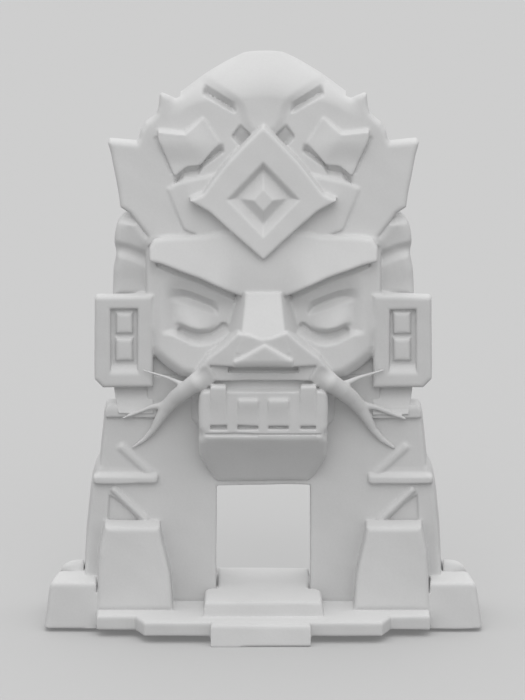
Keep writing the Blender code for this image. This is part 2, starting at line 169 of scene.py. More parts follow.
def plan(group, low, high, shape, owners, slot="gate_stone"):
    """Adds a form to the group: shape(x, y, z) is negative inside it, all in millimetres."""
    if isinstance(owners, str):
        owners = {owners: lambda x, y, z: 0 * x}
    if isinstance(slot, str):
        slot = dict.fromkeys(owners, slot)
    group.append((low, high, shape, owners, slot))


def carve(group, blend, pitch, finishes):
    """Cuts a group of touching stones. Where two forms meet, the corner between them is filled."""
    low = np.min([form[0] for form in group], 0) - 3 * pitch
    high = np.max([form[1] for form in group], 0) + 3 * pitch
    spans = [np.arange(a, b + pitch, pitch) for a, b in zip(low, high)]
    size = [len(span) for span in spans]
    block = np.full(size, FAR, np.float32)
    nearest = block.copy()
    owner = np.zeros(size, np.uint8)
    names = []
    for form_low, form_high, shape, owners, slot in group:
        reach = [np.searchsorted(span, (a - 4, b + 4)) for span, a, b in zip(spans, form_low, form_high)]
        part = tuple(slice(*ends) for ends in reach)
        x = spans[0][part[0]][:, None, None]
        y = spans[1][part[1]][None, :, None]
        z = spans[2][part[2]][None, None, :]
        gap = (shape(x, y, z) + 0 * (x + y + z)).astype(np.float32)
        keeper = np.zeros(gap.shape, np.uint8)
        best = np.full(gap.shape, 1e9, np.float32)
        for node, side in owners.items():
            names.append((node, slot[node]))
            away = side(x, y, z) + 0 * gap
            keeper[away < best] = len(names)
            best = np.minimum(best, away)
        closer = gap < nearest[part]
        owner[part][closer] = keeper[closer]
        nearest[part] = np.minimum(nearest[part], gap)
        block[part] = smooth_min(block[part], gap, blend)
    waves = chisel(spans[0][:, None, None], spans[1][None, :, None], spans[2][None, None, :])
    block += waves.astype(np.float32)
    owner[block >= 0] = 0
    points, quads, sides = skin(block, owner, [span[0] for span in spans], pitch)
    for number, (node, slot) in enumerate(names, 1):
        ahead = sides[:, 0] == number
        behind = sides[:, 1] == number
        faces = np.concatenate([quads[ahead], quads[behind][:, ::-1]])
        outer = np.concatenate([sides[ahead][:, 1], sides[behind][:, 0]]) == 0
        used, corners = np.unique(faces, return_inverse=True)
        mesh = bpy.data.meshes.new("carved_" + node)
        mesh.vertices.add(len(used))
        mesh.vertices.foreach_set("co", (points[used] * MM).ravel())
        mesh.loops.add(faces.size)
        mesh.loops.foreach_set("vertex_index", corners.ravel())
        mesh.polygons.add(len(faces))
        mesh.polygons.foreach_set("loop_start", np.arange(0, faces.size, 4))
        mesh.polygons.foreach_set("use_smooth", outer)
        mesh.update(calc_edges=True)
        edge_of = np.empty(len(mesh.loops), int)
        mesh.loops.foreach_get("edge_index", edge_of)
        rim = np.zeros((2, len(mesh.edges)), bool)
        rim[0, edge_of[np.repeat(outer, 4)]] = True
        rim[1, edge_of[np.repeat(~outer, 4)]] = True
        mesh.attributes.new("sharp_edge", "BOOLEAN", "EDGE").data.foreach_set("value", rim.all(0))
        piece = bpy.data.objects.new("carved_" + node, mesh)
        bpy.context.collection.objects.link(piece)
        mesh.materials.append(finishes[slot])
        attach(piece, "root")
        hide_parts(node)


def stone(name, light, dark, roughness, grain):
    """Matte, fine-grained stone: slow clouding, fine speckle, tiny pores and a dusty surface."""
    material = bpy.data.materials.new(name)
    material.use_nodes = True
    nodes = material.node_tree.nodes
    links = material.node_tree.links
    shader = nodes["Principled BSDF"]
    place = nodes.new("ShaderNodeTexCoord")
    cloud = nodes.new("ShaderNodeTexNoise")
    cloud.inputs["Scale"].default_value = 28
    cloud.inputs["Detail"].default_value = 6
    speckle = nodes.new("ShaderNodeTexNoise")
    speckle.inputs["Scale"].default_value = 900
    speckle.inputs["Detail"].default_value = 3
    blend = nodes.new("ShaderNodeMix")
    blend.data_type = "FLOAT"
    blend.inputs["Factor"].default_value = 0.3
    tint = nodes.new("ShaderNodeValToRGB")
    tint.color_ramp.elements[0].position = 0.3
    tint.color_ramp.elements[0].color = dark
    tint.color_ramp.elements[1].position = 0.7
    tint.color_ramp.elements[1].color = light
    pores = nodes.new("ShaderNodeTexVoronoi")
    pores.inputs["Scale"].default_value = 620
    pit = nodes.new("ShaderNodeMapRange")
    pit.inputs["From Max"].default_value = 0.22
    tooth = nodes.new("ShaderNodeTexNoise")
    tooth.inputs["Scale"].default_value = 300
    tooth.inputs["Detail"].default_value = 8
    relief = nodes.new("ShaderNodeMath")
    relief.operation = "MULTIPLY_ADD"
    relief.inputs[1].default_value = 0.25
    bump = nodes.new("ShaderNodeBump")
    bump.inputs["Strength"].default_value = grain
    bump.inputs["Distance"].default_value = 0.0003
    rough = nodes.new("ShaderNodeMapRange")
    rough.inputs["To Min"].default_value = roughness - 0.06
    rough.inputs["To Max"].default_value = roughness + 0.06
    for texture in (cloud, speckle, pores, tooth):
        links.new(place.outputs["Object"], texture.inputs["Vector"])
    links.new(cloud.outputs["Fac"], blend.inputs[2])
    links.new(speckle.outputs["Fac"], blend.inputs[3])
    links.new(blend.outputs[0], tint.inputs["Fac"])
    links.new(tint.outputs["Color"], shader.inputs["Base Color"])
    links.new(pores.outputs["Distance"], pit.inputs["Value"])
    links.new(pit.outputs["Result"], relief.inputs[0])
    links.new(tooth.outputs["Fac"], relief.inputs[2])
    links.new(relief.outputs[0], bump.inputs["Height"])
    links.new(bump.outputs["Normal"], shader.inputs["Normal"])
    links.new(cloud.outputs["Fac"], rough.inputs["Value"])
    links.new(rough.outputs["Result"], shader.inputs["Roughness"])
    shader.inputs["Specular IOR Level"].default_value = 0.2
    return material


gate_stone = stone("gate_stone", (0.60, 0.60, 0.60, 1), (0.55, 0.55, 0.55, 1), 0.86, 0.22)
gate = []

# Base slab and front step. The slab carries a shallow porch along its front edge, softened by
# casting and handling. The step is a separate block, pegged to the porch and resting on the ground.
SLAB_LOW = 3.7
SLAB_HIGH = 11.4
PORCH_FRONT = -49.9
SLAB_FRONT = -33.8
SLAB_BACK = 59.6
SLAB_HALF = 86.7
STEP_FRONT = -59.3
STEP_BACK = -44
STEP_LEAN = 0.24
slab_plan = whole([
    (93.2, SLAB_BACK), (93.2, 11.3), (SLAB_HALF, 11.0), (SLAB_HALF, SLAB_FRONT),
    (66.7, SLAB_FRONT), (62, PORCH_FRONT),
])


def slab_shape(x, y, z):
    sides = outline_gap(x, y, slab_plan)
    return smooth_max(smooth_max(sides, z - SLAB_HIGH, 2.0), SLAB_LOW - z, 0.6)


def step_shape(x, y, z):
    front = STEP_FRONT + STEP_LEAN * z - y
    edges = np.maximum(np.maximum(-27.2 - x, x - 24.8), front)
    body = smooth_max(smooth_max(edges, z - SLAB_HIGH + 0.1, 2.0), 0.1 - z, 0.6)
    return np.maximum(body, y - STEP_BACK)


plan(gate, (-94, -51, 3), (94, 60, 12), slab_shape, "base_slab")
plan(gate, (-28, -60, 0), (25, -44, 12), step_shape, "front_step")

# Threshold. A T-shaped stone: its wide end is the upper step in front of the gate and its
# tail is the door sill that runs through to the back.
THRESHOLD_HIGH = 19.3
DOOR_HALF = 24.4
threshold_plan = whole([(DOOR_HALF, 51.3), (DOOR_HALF, -0.2), (29, -1.5), (31, -6), (31.2, -37.4)])


def threshold_shape(x, y, z):
    edge = outline_gap(x, y, threshold_plan) + 0.1 * (z - SLAB_HIGH)
    return np.maximum(smooth_max(edge, z - THRESHOLD_HIGH, 1.8), SLAB_HIGH - z)


plan(gate, (-32, -38, 11), (32, 52, 20), threshold_shape, "threshold")

# Corner blocks. Each end of the base has a squared block in front and a lower rounded one
# behind it, cast in the same stone and pegged sideways into the slab.
BLOCK_HIGH = 25.6
BLOCK_LOW = 1.6
BLOCK_FRONT = -18.9
BLOCK_BACK = 11.2
BLOCK_END = 113.8
REAR_BLOCK_INNER = 93.3
REAR_BLOCK_END = 106.2


def front_block_shape(x, y, z):
    reach = np.abs(x)
    front = BLOCK_FRONT - 0.11 * (BLOCK_HIGH - z) - y
    outer = BLOCK_END - (z - BLOCK_LOW) * 0.14 - np.maximum(y + 12, 0) * 0.15
    body = smooth_max(smooth_max(front, z - BLOCK_HIGH, 2.2), reach - outer, 3.6)
    return np.maximum(smooth_max(body, BLOCK_LOW - z, 0.6), np.maximum(SLAB_HALF - reach, y - BLOCK_BACK))


rear_profile = eased([
    (BLOCK_BACK, SLAB_LOW), (BLOCK_BACK, 26.0), (14.0, 30.6), (24, 29.2), (37, 24.6), (50, 16),
    (SLAB_BACK, SLAB_LOW),
], 4)


def rear_block_shape(x, y, z):
    reach = np.abs(x)
    body = smooth_max(outline_gap(y, z, rear_profile), reach - REAR_BLOCK_END, 11)
    return np.maximum(body, REAR_BLOCK_INNER - reach)


plan(gate, (-114, -23, 1), (114, 12, 26), front_block_shape, both("corner_block_front"))
plan(gate, (-107, 11, 3), (107, 60, 31), rear_block_shape, both("corner_block_rear"))

# Gate wall. Two piers carry one lintel and the neck block above it. The back of the wall
# leans in as it rises. A sunk triangle is cut into each pier below its band.
DOOR_TOP = 73.75
LINTEL_TOP = 110.15
NECK_TOP = 131.85
NECK_HALF = 60.6
WALL_BACK_FOOT = 51.5
WALL_BACK_LEAN = 0.221
CORE_FRONT = 13.85
wall_outline = whole([
    (93.3, SLAB_HIGH), (91.7, 44.3), (89.6, 65.6), (88.6, 73), (87.0, 79.0), (84.8, 84.2),
    (83.1, 102.8), (82.4, 110.3),
])
sunk_triangle = eased([(80.6, 69.6), (60.2, 55.6), (62, 50), (81.6, 50)], 1.2)


def wall_back(z):
    return WALL_BACK_FOOT - WALL_BACK_LEAN * (z - SLAB_HIGH)


def wall_shape(x, y, z):
    reach = np.abs(x)
    front = 2.0 * ramp(-outline_gap(reach, z, sunk_triangle), 0, 1.4)
    body = smooth_max(outline_gap(x, z, wall_outline), np.maximum(front - y, y - wall_back(z)), 2.4)
    doorway = smooth_max(reach - DOOR_HALF, z - DOOR_TOP + 0.2, 1.0)
    body = smooth_max(body, -doorway, 1.2)
    front_seat = np.maximum(np.maximum(SLAB_HALF - reach, y - BLOCK_BACK), z - BLOCK_HIGH)
    rear_seat = np.maximum(REAR_BLOCK_INNER - reach, z - 30)
    body = np.maximum(body, -np.minimum(front_seat, rear_seat))
    neck = smooth_max(reach - NECK_HALF, -y, 1.0)
    neck = np.maximum(neck, np.maximum(y - CORE_FRONT, np.maximum(z - NECK_TOP, 100 - z)))
    return np.minimum(np.maximum(body, SLAB_HIGH - z), neck)


plan(gate, (-94, -1, 11), (94, 52, 132), wall_shape, {
    "pier_left": lambda x, y, z: np.maximum(x, z - DOOR_TOP),
    "pier_right": lambda x, y, z: np.maximum(-x, z - DOOR_TOP),
    "lintel": lambda x, y, z: np.maximum(DOOR_TOP - z, z - LINTEL_TOP),
    "neck_block": lambda x, y, z: LINTEL_TOP - z + 0 * x,
})

# Buttresses. A tapered stone leans on the foot of each pier, with its outer top corner
# sawn off and its face leaning back a little; it is pegged into the slab.
BUTTRESS_TOP = 55.1
BUTTRESS_FRONT = -22.1
BUTTRESS_LEAN = 0.08
buttress_outline = [
    (47, SLAB_HIGH), (SLAB_HALF, SLAB_HIGH), (85.2, 40.5), (82.2, BUTTRESS_TOP), (53.7, BUTTRESS_TOP),
    (52.2, 45.9), (48.5, 30),
]


def buttress_shape(x, y, z):
    front = BUTTRESS_FRONT + BUTTRESS_LEAN * (z - SLAB_HIGH) - y
    body = smooth_max(outline_gap(np.abs(x), z, buttress_outline), front, 3.0)
    return np.maximum(body, y - 1)


plan(gate, (-87, -23, 11), (87, 1, 56), buttress_shape, both("buttress"))

# Side bands. A string course crosses each shoulder of the gate. Its top is weathered to a
# slope, its underside is cut square, and its ends are rounded by hand.
BAND_LOW = 74.9
BAND_HIGH = 81.9
BAND_INNER = 54.4


def band_shape(x, y, z):
    reach = np.abs(x)
    drip = 3.4 * (1 - ramp(z, BAND_LOW + 3.0, BAND_HIGH - 0.6))
    edge = 85.2 + 0.9 * drip
    body = smooth_max(-drip - y, reach - edge, 2.2)
    body = smooth_max(smooth_max(body, BAND_LOW - z, 0.8), BAND_INNER - reach, 2.4)
    return np.maximum(np.maximum(body, z - BAND_HIGH), y - 5)


plan(gate, (-89, -4, 74), (89, 8, 83), band_shape, both("band"))

# Braces. Slanting ribs stand on the wall above and below each band. The upper one is a soft
# ridge that dies into the band's inner end; the lower one hangs over the sunk triangle.
def rib(x, y, z, start, end, half, rise):
    """A rounded rib from start to end, so wide each side and so high along its crown."""
    run = np.array(end, float) - start
    length = np.hypot(*run)
    along = ((x - start[0]) * run[0] + (z - start[1]) * run[1]) / length
    across = ((x - start[0]) * run[1] - (z - start[1]) * run[0]) / length
    crown = rise * (1 - (across / half) ** 2)
    ends = smooth_max(-along, along - length, 1)
    return smooth_max(np.maximum(-crown - y, np.abs(across) - half - 1), ends, 2.0)


def brace_upper_shape(x, y, z):
    body = rib(np.abs(x), y, z, (75.0, 95.0), (58.2, 79.2), 2.6, 1.5)
    return np.maximum(body, np.maximum(y - 0.8, BAND_HIGH - 2.4 - z))


def brace_lower_shape(x, y, z):
    body = rib(np.abs(x), y, z, (78.6, 72.2), (60.2, 54.6), 2.3, 2.5)
    return np.maximum(body, np.maximum(y - 2, z - BAND_LOW))


plan(gate, (-78, -3, 80), (78, 1, 98), brace_upper_shape, both("brace_upper"))
plan(gate, (-81, -3, 53), (81, 2, 76), brace_lower_shape, both("brace_lower"))

# Pier caps. A thick rounded ledge closes the top of each shoulder, projects a little over
# the wall's face and runs back to the head behind it.
CAP_HIGH = 116.8
CAP_FRONT = -2.7
CAP_HALF = 82.0


def cap_shape(x, y, z):
    reach = np.abs(x)
    body = smooth_max(np.maximum(CAP_FRONT - y, reach - CAP_HALF), z - CAP_HIGH, 3.6)
    body = smooth_max(body, LINTEL_TOP - 0.4 - z, 0.8)
    return np.maximum(body, np.maximum(BAND_INNER - reach, y - CORE_FRONT))


plan(gate, (-83, -4, 109), (83, 14, 118), cap_shape, both("pier_cap"))
carve(gate, 1.0, 0.7, {"gate_stone": gate_stone})

# Foot pads. Four black rubber discs are pushed into the slab's underside and keep it level
# with the front step; their rims are rounded and a little scuffed.
rubber = bpy.data.materials.new("foot_rubber")
rubber.use_nodes = True
rubber_shader = rubber.node_tree.nodes["Principled BSDF"]
rubber_shader.inputs["Base Color"].default_value = (0.02, 0.02, 0.021, 1)
rubber_shader.inputs["Specular IOR Level"].default_value = 0.35
scuff = rubber.node_tree.nodes.new("ShaderNodeTexNoise")
scuff.inputs["Scale"].default_value = 700
scuff_range = rubber.node_tree.nodes.new("ShaderNodeMapRange")
scuff_range.inputs["To Min"].default_value = 0.6
scuff_range.inputs["To Max"].default_value = 0.9
rubber.node_tree.links.new(scuff.outputs["Fac"], scuff_range.inputs["Value"])
rubber.node_tree.links.new(scuff_range.outputs["Result"], rubber_shader.inputs["Roughness"])
pad_profile = [(0, 0.4), (4.6, 0.4), (5.0, 0.0), (6.0, 0.0), (6.5, 0.5), (6.5, 3.1), (6.1, 3.5), (0, 3.5)]
PAD_STEPS = 40
for node, centre_x, centre_y in (
    ("foot_pad_front_left", -72, 2),
    ("foot_pad_front_right", 72, 2),
    ("foot_pad_rear_left", -76, 46),
    ("foot_pad_rear_right", 76, 46),
):
    disc = bmesh.new()
    points = [disc.verts.new((u * MM, 0, v * MM)) for u, v in pad_profile]
    edges = [disc.edges.new(pair) for pair in zip(points, points[1:])]
    turn = 2 * math.pi
    bmesh.ops.spin(disc, geom=points + edges, axis=(0, 0, 1), steps=PAD_STEPS, angle=turn, use_merge=True)
    bmesh.ops.remove_doubles(disc, verts=disc.verts[:], dist=1e-6)
    bmesh.ops.recalc_face_normals(disc, faces=disc.faces[:])
    mesh = bpy.data.meshes.new("rubber_" + node)
    disc.to_mesh(mesh)
    disc.free()
    mesh.polygons.foreach_set("use_smooth", [True] * len(mesh.polygons))
    mesh.set_sharp_from_angle(angle=math.radians(40))
    mesh.materials.append(rubber)
    pad = bpy.data.objects.new("rubber_" + node, mesh)
    pad.location = (centre_x * MM, centre_y * MM, 0)
    bpy.context.collection.objects.link(pad)
    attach(pad, "root")
    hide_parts(node)

# Head core. One backing block stands on the lintel and carries everything above it. Only its
# dressed back, with a sunk panel, and its edges can be seen.
idol_stone = stone("idol_stone", (0.61, 0.61, 0.61, 1), (0.56, 0.56, 0.56, 1), 0.85, 0.22)
inset_stone = stone("inset_stone", (0.61, 0.61, 0.61, 1), (0.57, 0.57, 0.57, 1), 0.8, 0.12)
CORE_TOP = 260.85
CORE_BACK = 27
PANEL_DEPTH = 1.3
PANEL_MARGIN = 7.5
core_outline = eased(
    whole([(76, LINTEL_TOP), (76, 178), (72, 200), (66, 216), (66, 238), (56, 252), (43, CORE_TOP)]), 3
)


def core_shape(x, y, z):
    edge = outline_gap(x, z, core_outline)
    back = CORE_BACK - PANEL_DEPTH * ramp(-edge - PANEL_MARGIN, -0.8, 0.8)
    return np.maximum(smooth_max(edge, y - back, 2.6), CORE_FRONT - y)


core = []
plan(core, (-77, 13, 110), (77, 28, 262), core_shape, "head_core", "idol_stone")
carve(core, 1.0, 0.8, {"idol_stone": idol_stone})

# Headdress. Forehead, feathers and crest are cut from one slab and sawn apart. The middle of
# the crest swells forward between two slanting grooves and rolls back to a blunt ridge.
head = []
HEADDRESS_FOOT = 201.0
CREST_HALF = 43.2
headdress_outline = whole([
    (60.4, HEADDRESS_FOOT), (60.4, 206.0), (69.4, 217.8), (74.2, 221), (75.2, 228), (77.2, 238),
    (79.3, 248.3), (81.0, 254.2), (79.6, 255.8), (72, 255.0), (65.9, 254.4), (64.6, 256.4),
    (63.6, 260.4), (61.2, 264.4), (57.6, 267.2), (55.4, 269.6), (54.4, 273), (53.9, 279.0),
    (52.7, 280.0), (49.4, 278.6), (45.6, 276.8), (42.4, 278.0), (35.0, 283.6), (30.2, 287.2),
    (25.0, 290.4), (19.8, 293.6), (14.6, 296.6), (10.4, 299.4), (6, 299.9),
])
lobe_outline = eased(whole([
    (7, 259), (11.4, 266.0), (12.2, 271.5), (15.4, 276.4), (31.6, 285.4), (38, 290), (20, 310),
]), 3)
crest_groove = [(15.4, 273.2), (23, 277.6), (30.4, 281.6)]
crest_pocket = eased([(12.1, 265.0), (4.6, 257.6), (10.6, 250.6), (17.0, 257.6)], 1.5)
under_leaf = [(21.5, 252.0), (31.2, 245.2), (33.8, 241.0), (41.2, 239.9), (45.6, 235.0)]
beside_leaf = [(55.4, 256.5), (51, 248), (47.4, 239.6)]
SAW_FOOT = 41.3
SAW_LEAN = 0.243
SAW_LEVEL = 206.9


def forehead_front(z):
    return -3.0 + 0.154 * (z - 206.0)


def slanting_cut(u, v, points, half):
    """Depth, 0 to 1, of a cut along a line: it slopes in from above to a step below."""
    rise = v - np.interp(u, *zip(*points))
    ends = ramp(u - points[0][0], -1.8, 1.4) * ramp(points[-1][0] - u, -1.8, 1.4)
    return np.clip((half - rise) / (2 * half), 0, 1) * ramp(rise, -1.1 - half, 0.9 - half) * ends


def headdress_shape(x, y, z):
    reach = np.abs(x)
    edge = outline_gap(x, z, headdress_outline)
    ridge = 300 - 0.31 * (reach - 10 + np.sqrt((reach - 10) ** 2 + 30))
    below_ridge = np.clip((ridge - z) / (21.5 - 12 * ramp(reach, 6, 40)), 0, 1)
    roll = (16 - 11 * ramp(reach, 8, 40)) * (1 - below_ridge) ** 1.8 * ramp(-reach, -52, -38)
    swell = 1.8 * ramp(-outline_gap(x, z, lobe_outline), -1.2, 4.4)
    front = forehead_front(z) + roll - swell
    front = front + 6.5 * slanting_cut(reach, z, crest_groove, 2.7)
    pocket = np.clip(-outline_gap(reach, z, crest_pocket) / 1.6, 0, 1)
    front = front + 6.0 * pocket * np.clip((267 - z) / 14, 0, 1)
    front = front + 5.5 * slanting_cut(reach, z, under_leaf, 2.5)
    front = front + 0.7 * ramp(-line_gap(reach, z, beside_leaf), -2.0, -0.4)
    deep = np.maximum(CORE_TOP - z, reach - CREST_HALF) + 0 * y
    back = np.where(deep < 0, 26.8, CORE_FRONT)
    body = smooth_max(smooth_max(edge, (front - y) * 0.9, 3.0), y - back, 1.6)
    return np.maximum(body, HEADDRESS_FOOT - z)


def beside_saw(x, z):
    """Distance outside the slanting saw cuts between the forehead and the feathers."""
    return (np.abs(x) - SAW_FOOT - SAW_LEAN * (z - SAW_LEVEL)) / math.hypot(1, SAW_LEAN)


plan(head, (-82, -9, 201), (82, 28, 301), headdress_shape, {
    "forehead": lambda x, y, z: np.maximum(beside_saw(x, z), z - CORE_TOP),
    "feather_low_left": lambda x, y, z: np.maximum(np.maximum(-beside_saw(x, z), x), z - CORE_TOP),
    "feather_low_right": lambda x, y, z: np.maximum(np.maximum(-beside_saw(x, z), -x), z - CORE_TOP),
    "crest": lambda x, y, z: np.maximum(CORE_TOP - z, np.abs(x) - CREST_HALF),
    "feather_high_left": lambda x, y, z: np.maximum(CORE_TOP - z, CREST_HALF + x),
    "feather_high_right": lambda x, y, z: np.maximum(CORE_TOP - z, CREST_HALF - x),
}, "idol_stone")

# Leaves. Two raised leaves lie each side of the forehead: the upper one with a broad bevel
# along its top and its inner side dying into the forehead, the lower one thin.
leaf_upper_outline = eased([
    (55.0, 262.0), (41.2, 260.4), (31.4, 268.2), (22.6, 254.4), (29.0, 247.6),
    (32.6, 243.2), (39.7, 242.6), (46.2, 237.4), (54.8, 257.1),
], 1.6)
leaf_lower_outline = eased([
    (50.4, 231.2), (43.3, 234.8), (23.6, 239.2), (14, 225), (14, 206), (33, 207.0),
    (41.4, 209.8), (46.2, 221),
], 1.4)


def leaf_upper_shape(x, y, z):
    reach = np.abs(x)
    thick = 1.8 + 2.4 * ramp(z, 243, 257)
    thick = thick * (1 - 0.75 * ramp(-line_gap(reach, z, [(31.4, 268.2), (22.6, 254.4)]), -14, 0))
    bevel = line_gap(reach, z, [(56, 262.4), (41.2, 260.8), (31.0, 268.8)])
    thick = thick * np.clip(0.12 + bevel / 1.6, 0, 1)
    body = smooth_max(outline_gap(reach, z, leaf_upper_outline), forehead_front(z) - thick - y, 1.0)
    return np.maximum(body, y - forehead_front(z) - 2)


def leaf_lower_shape(x, y, z):
    thick = 2.4 - 1.3 * ramp(np.abs(x), 36, 50)
    body = smooth_max(outline_gap(np.abs(x), z, leaf_lower_outline), forehead_front(z) - thick - y, 2.0)
    return np.maximum(body, y - forehead_front(z) - 2)


plan(head, (-56, -4, 236), (56, 9, 270), leaf_upper_shape, both("leaf_upper"), "idol_stone")
plan(head, (-52, -7, 206), (52, 5, 240), leaf_lower_shape, both("leaf_lower"), "idol_stone")

# Diamond. A thick frame with swept side points hangs over the forehead and the brow. Its
# middle is a bowl with sloping sides, and a blunt pyramid of smoother stone is set in it.
diamond_outline = eased(whole([
    (0.4, 196.6), (12.1, 207.2), (27.7, 221.0), (33.0, 224.0), (38.6, 226.9), (31.4, 230.2), (29.3, 232.8),
    (23.6, 240.4), (18.4, 246.7), (3.3, 261.9), (0.4, 264.4),
]), 0.8)


def diamond_front(z):
    return -16.6 + 0.17 * (z - 197.0)


def rhomb(x, z, half_width, half_height, middle):
    """Signed distance to an upright rhomb, measured square to its sides."""
    slope = math.hypot(half_width, half_height)
    return (np.abs(x) * half_height + np.abs(z - middle) * half_width - half_width * half_height) / slope


def diamond_shape(x, y, z):
    front = diamond_front(z) + 4.6 * ramp(-rhomb(x, z, 19.8, 20.3, 227.6), 0, 4.8)
    body = smooth_max(outline_gap(x, z, diamond_outline), front - y, 1.8)
    return np.maximum(body, y - forehead_front(z) - 1)


def gem_shape(x, y, z):
    sides = rhomb(x, z, 12.6, 13.2, 227.4)
    front = diamond_front(z) + 4.8 - 5.2 * np.clip(-sides / 5.4, 0, 1)
    return np.maximum(smooth_max(sides, front - y, 0.8), y - diamond_front(z) - 8)


plan(head, (-39, -18, 196), (39, 7, 265), diamond_shape, "diamond_frame", "idol_stone")
plan(head, (-13, -16, 216), (13, -2, 242), gem_shape, "diamond_gem", "inset_stone")

# Side hair. A tall block of hair stands behind each ear in two soft swells with a fold
# between them, pegged to the head core.
hair_outline = eased([
    (56, 173), (78.4, 173), (77.8, 187), (76.4, 193.6), (76.2, 196.6), (77.3, 201), (76.8, 206.4),
    (75.4, 211.6), (72.4, 215.8), (68.6, 217.8), (60.4, 207.6), (56, 203),
], 1.5)


def hair_shape(x, y, z):
    reach = np.abs(x)
    fold = line_gap(reach, z, [(80, 199.6), (70, 197.4), (60, 193.5)])
    under_feather = line_gap(reach, z, [(60.4, 205.0), (67.0, 213.6)])
    front = smooth_min(3.0 - 1.6 * ramp(z, 176, 190), forehead_front(z) + 0.9 + 0.5 * under_feather, 2.0)
    front = front + 2.2 * ramp(-fold, -5.0, -0.2)
    front = front + 2.0 * ramp(-line_gap(reach, z, [(77, 214.8), (67, 214.0)]), -2.6, -0.6)
    body = smooth_max(outline_gap(reach, z, hair_outline), front - y, 5.0)
    return np.maximum(body, y - CORE_FRONT)


plan(head, (-80, -4, 173), (80, 14, 218), hair_shape, both("side_hair"), "idol_stone")

# Face mask and eyes. The cheeks and the eye hollows are one stone. It curves back towards the
# ears and the chin, and the upper lid slopes in to a sharp fold over each eye. The eyeballs
# are of smoother stone, let into the hollows and dressed flush with them.
MASK_TOP = 206.2
MASK_HALF = 60.8
MASK_FOOT = 131.6
mask_outline = whole([
    (38.1, 132.0), (43.3, 133.2), (51.1, 137.9), (58.2, 143.3), (MASK_HALF, 148.0), (MASK_HALF, MASK_TOP),
])
orbit_outline = eased([
    (53.2, 154.6), (58.0, 160), (60, 180), (62, 196), (10, 190), (10.6, 176), (12, 165), (14.2, 156.6),
    (17.3, 156.1), (22.5, 153.4), (27.7, 150.4), (32.9, 149.6), (38.1, 150.8), (43.3, 153.4), (47.5, 155.4),
], 2)
lid_fold = [(24.0, 167.6), (27.7, 169.2), (32.9, 171.3), (38.1, 173.2), (43.3, 174.4), (47.5, 175.0)]
brow_fold = [(54.0, 191.4), (43.3, 187.8), (32.9, 184.0), (22.5, 179.2), (11.6, 173.4)]
eye_fold = [(20.6, 159.0), (23.6, 156.4), (27.7, 154.5), (32.9, 154.0), (38.1, 154.9), (42.4, 156.8)]
inner_corner = [(12.8, 174.2), (11.6, 170.6)]
eye_outline = eased([
    (47.9, 174.8), (35.5, 172.2), (30.3, 170.2), (23.4, 167.2), (23.4, 164.3), (25.8, 160.0), (28.8, 157.4),
    (32.9, 156.4), (38.1, 157.0), (41.8, 159.6), (45.9, 164.9), (47.9, 170.8),
], 2)


def mask_plane(z):
    return -15.0 + 0.12 * (z - 134.0)


def mask_shape(x, y, z):
    reach = np.abs(x)
    edge = outline_gap(reach, z, mask_outline)
    front = mask_plane(z) + 6.0 * ramp(reach, 44, 62) + 6.0 * ramp(edge, -8, 1) ** 1.6 * ramp(-z, -160, -150)
    above_lid = z - np.interp(reach, *zip(*lid_fold))
    above_rim = z - np.interp(reach, *zip(*eye_fold))
    hollow = ramp(-outline_gap(reach, z, orbit_outline), 0, 3.2) * ramp(-reach, -54.5, -43)
    front = front + hollow * (5.8 - 3.6 * ramp(above_lid, 0, 11))
    bulge = np.clip(1 - ((reach - 35.0) / 14.5) ** 2, 0, 1) ** 1.3 * ramp(-above_lid, -1.0, 14.0)
    eyeball = -4.6 - 7.4 * bulge * ramp(above_rim, 0.4, 5.5)
    front = np.where(hollow > 0.4, smooth_min(front, eyeball, 1.5), front)
    lid = np.clip(1 - above_lid / 4.6, 0, 1) * ramp(above_lid, -3.4, -0.2)
    front = front + 5.4 * lid * ramp(reach, 22.0, 27.0) * ramp(-reach, -51, -38)
    front = front + 3.2 * ramp(-line_gap(reach, z, brow_fold), -2.3, -0.5)
    front = front + 3.2 * ramp(-line_gap(reach, z, eye_fold), -3.0, -0.6)
    front = front + 3.0 * ramp(-line_gap(reach, z, inner_corner), -3.0, -0.6)
    body = smooth_max(edge, (front - y) * 0.85, 2.0)
    backing = np.maximum(np.maximum(reach - MASK_HALF, 0.4 - y), MASK_FOOT - z)
    return np.maximum(smooth_min(body, backing, 1.5), np.maximum(y - CORE_FRONT, z - MASK_TOP))


def eye_ground(x, y, z):
    """Negative inside the sockets that the eyes are let into."""
    return np.maximum(outline_gap(np.abs(x), z, eye_outline), y + 3)


plan(head, (-61, -18, 131), (61, 14, 207), mask_shape, {
    "face_mask": lambda x, y, z: -eye_ground(x, y, z),
    "eye_left": lambda x, y, z: np.maximum(eye_ground(x, y, z), x),
    "eye_right": lambda x, y, z: np.maximum(eye_ground(x, y, z), -x),
}, {"face_mask": "idol_stone", "eye_left": "inset_stone", "eye_right": "inset_stone"})

# Brow. One heavy stone frowns over both eyes. Its face leans back to a bright upper edge and
# flattens over the nose, and the diamond's lower point is let into its middle.
brow_outline = eased(whole([
    (9.6, 178.0), (11.4, 176.2), (22.5, 181.6), (32.9, 186.2), (43.3, 189.8), (52.7, 193.2),
    (59.4, 194.6), (59.6, 201.5), (57.2, 205.8), (50, 206.9), (29.3, 207.4), (22, 209.2),
]), 1.4)


def brow_shape(x, y, z):
    reach = np.abs(x)
    face = -8.0 - 0.40 * (207 - z)
    middle = ramp(-reach, -26, -10)
    face = face * (1 - middle) + smooth_max(face, -13.4, 5) * middle
    body = smooth_max(outline_gap(x, z, brow_outline), (face - y) * 0.92, 2.4)
    return np.maximum(body, y - mask_plane(z) - 3)


plan(head, (-60, -21, 175), (60, 1, 210), brow_shape, "brow", "idol_stone")

